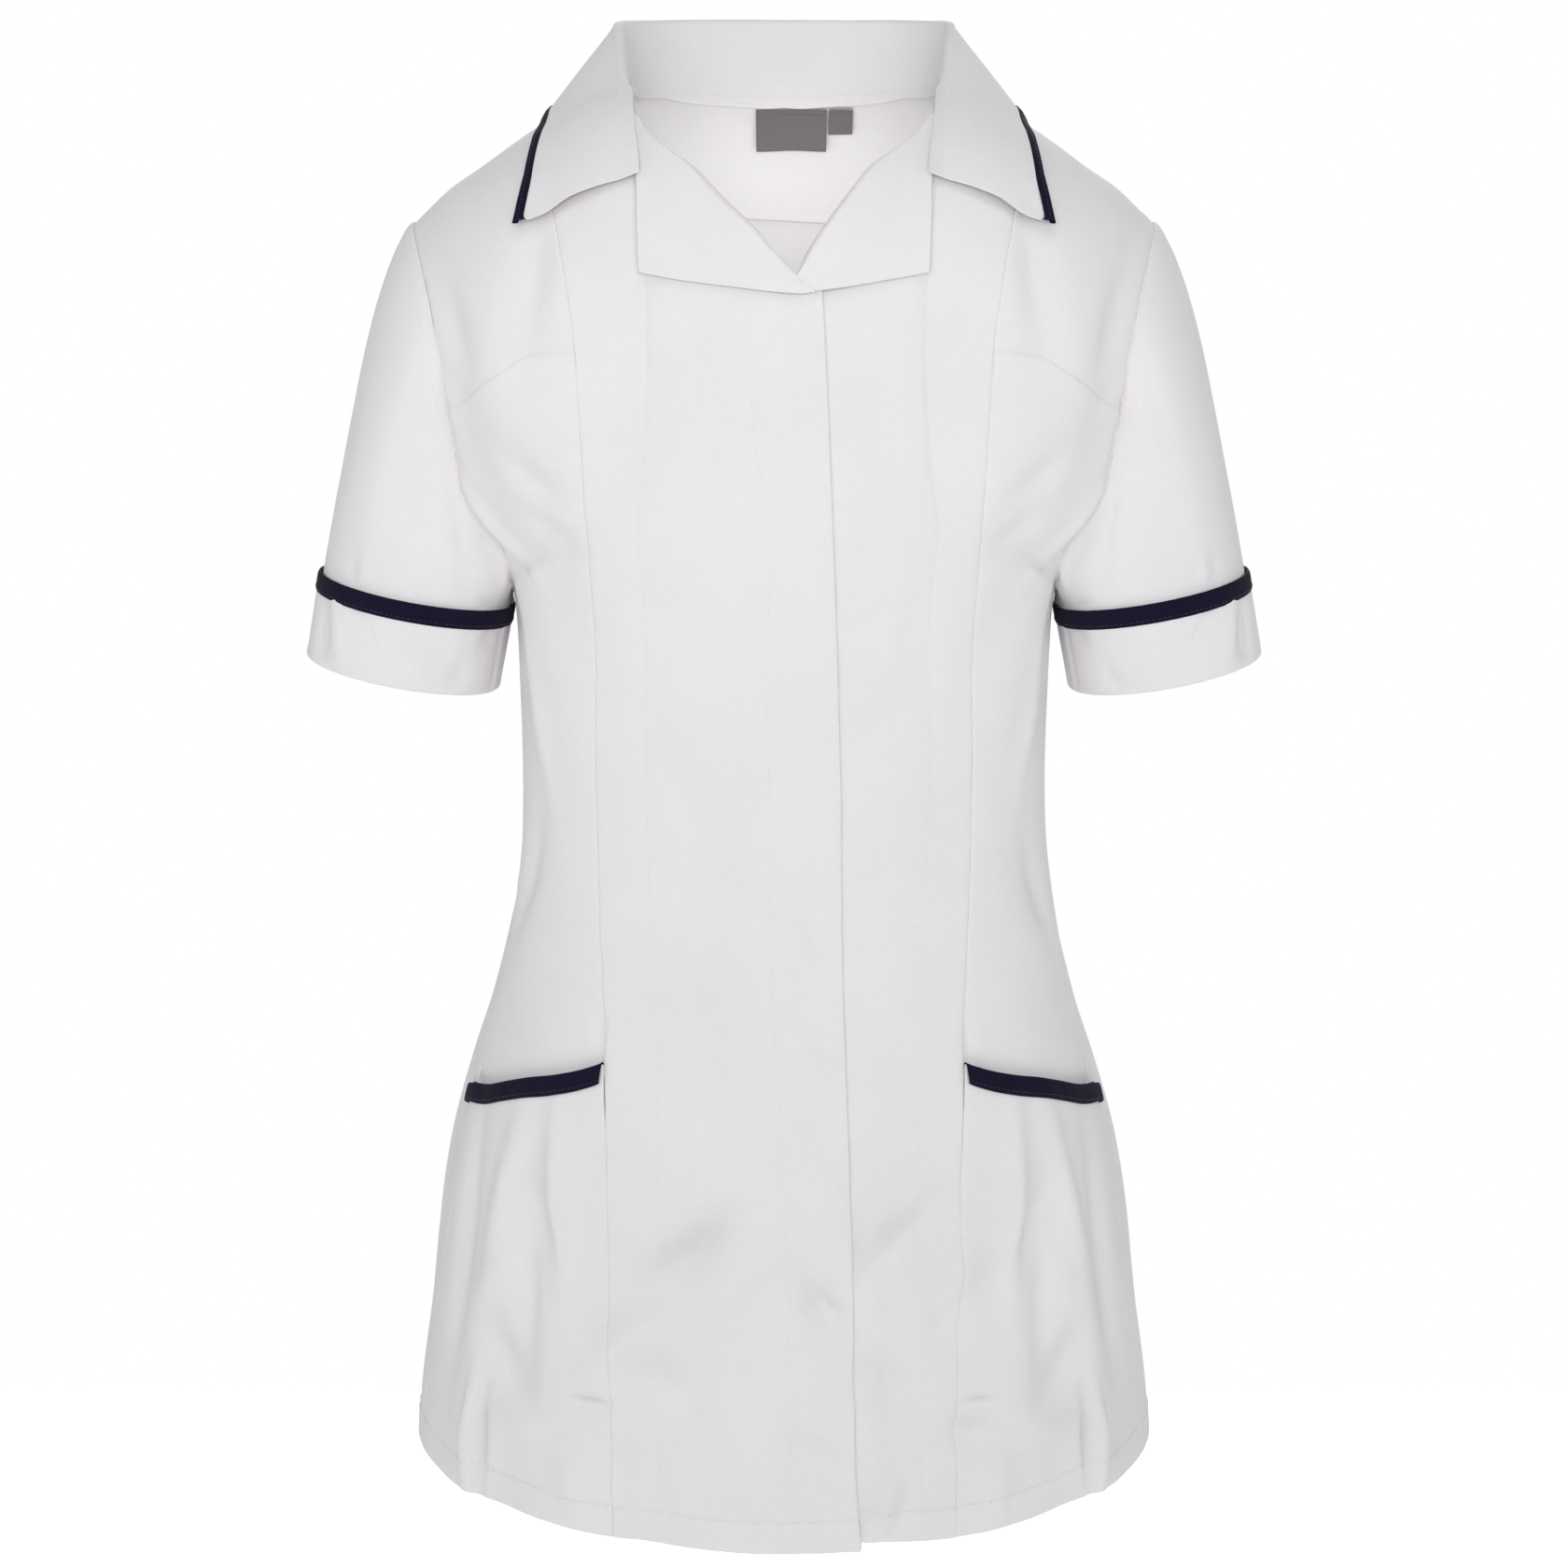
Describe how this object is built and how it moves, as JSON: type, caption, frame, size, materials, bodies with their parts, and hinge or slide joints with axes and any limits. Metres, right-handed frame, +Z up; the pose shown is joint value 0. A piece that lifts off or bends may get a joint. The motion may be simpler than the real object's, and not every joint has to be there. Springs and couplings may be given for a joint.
{
  "type": "medical tunic",
  "caption": "Fitted short-sleeved medical tunic, filled out as if worn, with an open collar, a hidden front closing, hip pockets and dark bound edges.",
  "frame": {"origin": "on the garment's middle plane, level with the back neck seam, where the wearer's shoulders carry the tunic", "axes": "+X to the wearer's left, -Y to the front, +Z up"},
  "size_m": [0.4994, 0.3048, 0.7599],
  "materials": {
    "white_twill": "matt white polyester and cotton twill",
    "navy_trim": "matt navy binding",
    "label_satin": "grey woven label, bare"
  },
  "bodies": {
    "root": {"front_right": "white_twill", "front_left": "white_twill", "side_front_upper_right": "white_twill", "side_front_upper_left": "white_twill", "side_front_right": "white_twill", "side_front_left": "white_twill", "pocket_right": "white_twill", "pocket_left": "white_twill", "pocket_trim_right": "navy_trim", "pocket_trim_left": "navy_trim", "back": "white_twill", "back_neck_facing": "white_twill", "collar_stand": "white_twill", "collar_fall": "white_twill", "collar_trim": "navy_trim", "revers_right": "white_twill", "revers_left": "white_twill", "sleeve_right": "white_twill", "sleeve_left": "white_twill", "cuff_right": "white_twill", "cuff_left": "white_twill", "cuff_trim_right": "navy_trim", "cuff_trim_left": "navy_trim", "neck_label": "label_satin", "size_tab": "label_satin"}
  },
  "joints": []
}
